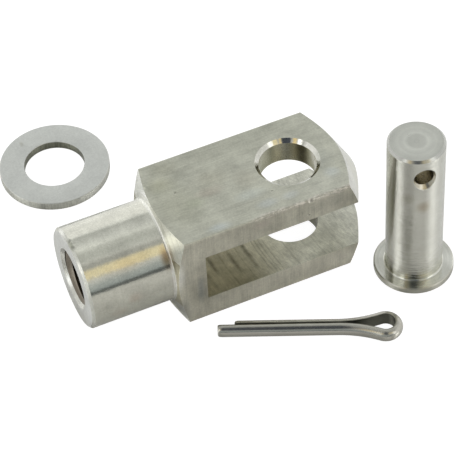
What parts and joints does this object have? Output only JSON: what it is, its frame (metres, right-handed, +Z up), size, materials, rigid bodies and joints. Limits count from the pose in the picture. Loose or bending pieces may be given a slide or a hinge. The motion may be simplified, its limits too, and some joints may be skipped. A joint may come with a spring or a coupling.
{
  "type": "clevis rod end",
  "caption": "Square bar fork with a milled slot, chamfered cross bore and threaded neck, laid out beside its headed clevis pin, flat washer and split pin.",
  "frame": {"origin": "where the long axis of the fork crosses the axis of its cross bore, midway between the two arms", "axes": "+X along the fork out of its open end, so the threaded neck points along -X; +Z up along the cross bore; the surface that the pieces lie on is half a bar side below the origin"},
  "size_m": [0.0652, 0.0741, 0.0307],
  "materials": {
    "fork_steel": "turned and milled, satin, with fine lines along the bar",
    "pin_steel": "turned, bright",
    "washer_zinc": "punched, matt zinc grey",
    "split_pin_steel": "drawn wire, smooth and darker"
  },
  "bodies": {
    "root": {"fork": "fork_steel", "clevis_pin": "pin_steel", "washer": "washer_zinc", "split_pin": "split_pin_steel"}
  },
  "joints": []
}
